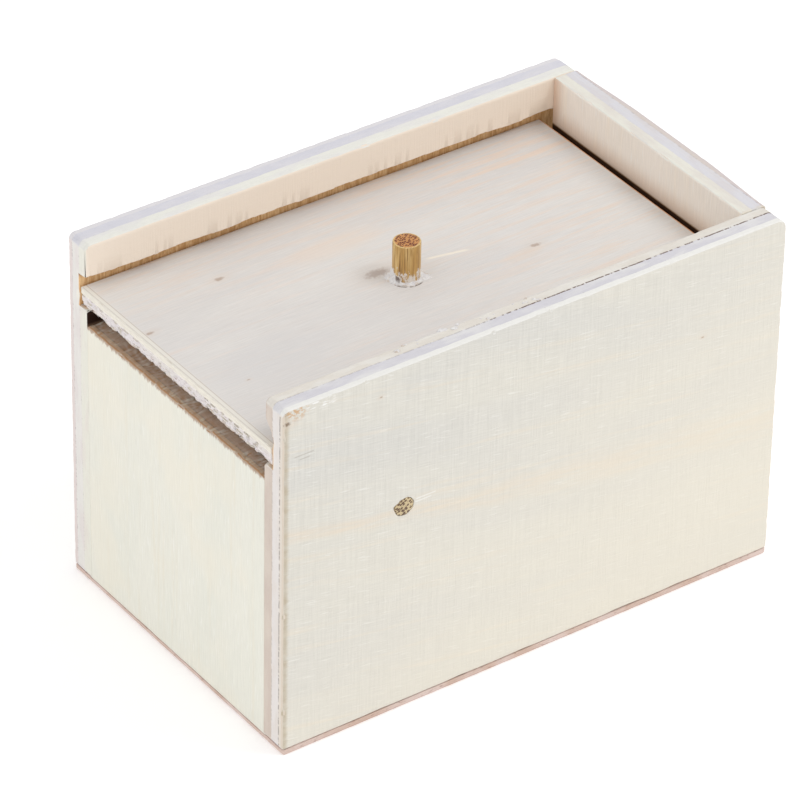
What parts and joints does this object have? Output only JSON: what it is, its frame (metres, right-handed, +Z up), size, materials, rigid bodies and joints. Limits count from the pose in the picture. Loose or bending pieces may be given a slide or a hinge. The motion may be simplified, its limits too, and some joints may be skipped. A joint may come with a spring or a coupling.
{
  "type": "snap mouse surprise box",
  "caption": "Small plywood box with a sliding lid and peg knob that frees a sprung wire arm carrying a rubber mouse.",
  "frame": {"origin": "middle of the box's underside, at the corner-to-corner centre of the bottom sheet", "axes": "+Z up; +X towards the closed back panel, so the lid slides out towards -X; +Y towards the left side panel, on the left of someone who faces the front panel"},
  "size_m": [0.093, 0.058, 0.063],
  "materials": {
    "plywood": "bare sanded three-ply poplar, matt",
    "bottom_sheet": "thin bare veneer sheet with sawn edges, matt",
    "bamboo": "bare bamboo dowel, light satin",
    "glue": "dried white wood glue, milky and a little glossy",
    "steel": "drawn spring wire, plain",
    "grey_rubber": "soft moulded rubber, matt",
    "pink_rubber": "soft pink rubber, matt",
    "black_bead": "glossy bead",
    "thread": "twisted cotton thread"
  },
  "bodies": {
    "box": {"bottom_panel": "bottom_sheet", "front_panel": "plywood", "back_panel": "plywood", "left_side_panel": "plywood", "right_side_panel": "plywood", "cross_pin": "bamboo", "torsion_spring": "steel"},
    "lid": {"lid_panel": "plywood", "lid_peg": "bamboo", "peg_glue": "glue"},
    "arm": {"wire_bail": "steel", "mouse_body": "grey_rubber", "mouse_ear_left": "pink_rubber", "mouse_ear_right": "pink_rubber", "mouse_eye_left": "black_bead", "mouse_eye_right": "black_bead", "mouse_nose": "pink_rubber", "mouse_tail": "pink_rubber", "lashing_thread": "thread"}
  },
  "joints": [
    {"name": "lid_slide", "type": "slide", "parent": "box", "child": "lid", "axis": [-1, 0, 0], "range_m": [0, 0.08]},
    {"name": "arm_swing", "type": "hinge", "parent": "box", "child": "arm", "pos_m": [-0.0247, 0, 0.0376], "axis": [0, -1, 0], "range_deg": [0, 144], "deforming": ["torsion_spring"]}
  ],
  "couplings": [
    {"joint": "arm_swing", "follows": "lid_slide", "rad_per_m": 31.4}
  ]
}
